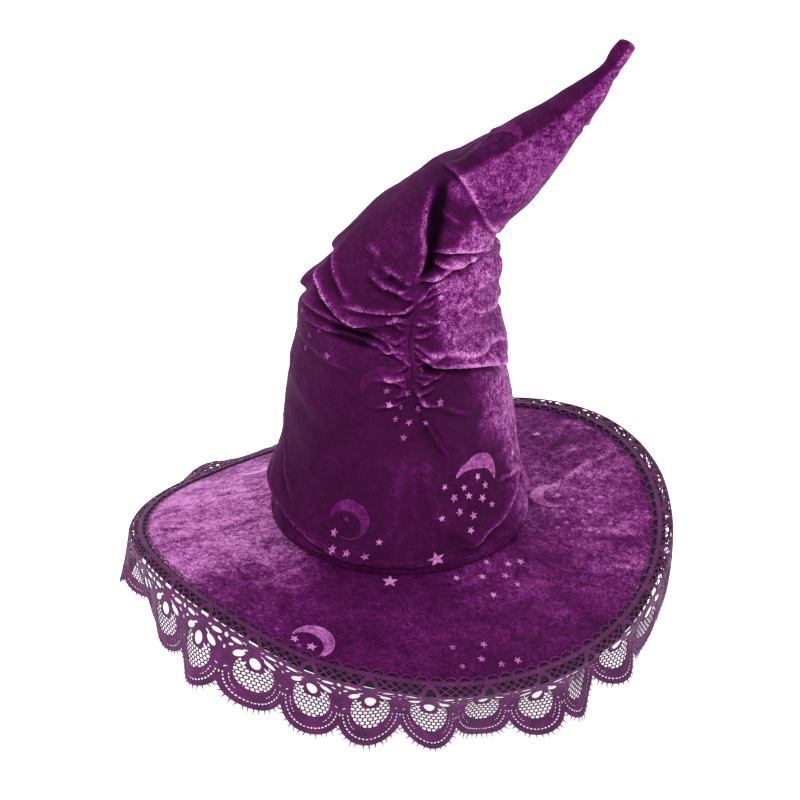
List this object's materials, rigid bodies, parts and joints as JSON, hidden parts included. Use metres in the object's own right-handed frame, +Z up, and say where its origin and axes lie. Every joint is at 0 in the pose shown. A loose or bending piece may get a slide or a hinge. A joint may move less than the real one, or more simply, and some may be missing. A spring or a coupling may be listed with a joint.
{
  "type": "witch hat",
  "caption": "Crooked velvet witch hat with a bending tip, a wide waved wired brim and a scalloped lace trim round its edge.",
  "frame": {"origin": "middle of the round head opening, level with the inner edge of the brim's top face", "axes": "+Z up through the crown, +X towards the side the tip leans to, -Y towards the front"},
  "size_m": [0.4242, 0.4242, 0.4694],
  "materials": {
    "velvet": "crushed stretch velvet, deep purple, with a lighter moon and star print",
    "lace": "purple guipure lace, matte thread",
    "binding": "black woven binding",
    "facing": "black plain-weave cotton",
    "lining": "black satin lining",
    "foam": "thin polyurethane foam interlining",
    "wadding": "loose polyester wadding",
    "stiffener": "stiff needled interlining",
    "sweatband": "black grosgrain ribbon",
    "tape": "black cotton tape",
    "elastic": "woven elastic",
    "wire": "galvanised spring wire",
    "ferrule": "crimped tube",
    "label": "blank white satin label"
  },
  "bodies": {
    "hat": {"crown_panel_left": "velvet", "crown_panel_right": "velvet", "ruching_elastic": "elastic", "crown_interlining": "foam", "crown_lining": "lining", "sweatband": "sweatband", "crown_joint_tape": "tape", "care_label": "label", "size_label": "label", "brim_top_velvet": "velvet", "brim_stiffener": "stiffener", "brim_facing": "facing", "edge_binding": "binding", "brim_wire": "wire", "wire_ferrule": "ferrule", "lace_heading": "lace", "lace_scallops": "lace"},
    "tip": {"tip_velvet": "velvet", "tip_interlining": "foam", "tip_wadding": "wadding"}
  },
  "joints": [
    {"name": "tip_bend", "type": "hinge", "parent": "hat", "child": "tip", "pos_m": [0.0475, 0, 0.271], "axis": [0, 1, 0], "range_deg": [-25, 35]}
  ]
}
